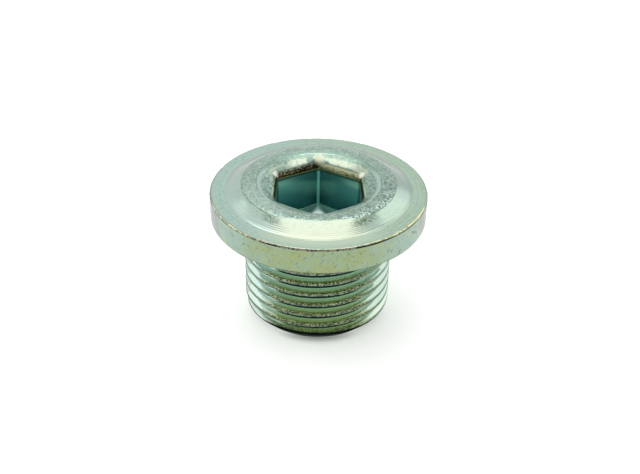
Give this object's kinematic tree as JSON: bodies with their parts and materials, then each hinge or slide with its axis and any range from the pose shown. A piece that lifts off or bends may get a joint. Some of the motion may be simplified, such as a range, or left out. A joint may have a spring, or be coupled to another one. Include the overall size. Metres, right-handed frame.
{
  "type": "hex socket plug",
  "caption": "Collar screw plug with a hexagon socket in a raised round crown and a short threaded shank, used to close a tapped port.",
  "frame": {"origin": "on the axis, in the plane of the collar's seat", "axes": "+Z along the axis, out of the tapped hole towards the hexagon socket; two flats of the socket face +X and -X"},
  "size_m": [0.026, 0.026, 0.0174],
  "materials": {
    "zinc_plated_steel": "bright zinc plating with a pale green, iridescent passivate over turned, rolled and forged steel"
  },
  "bodies": {
    "root": {"hex_socket_plug": "zinc_plated_steel"}
  },
  "joints": []
}
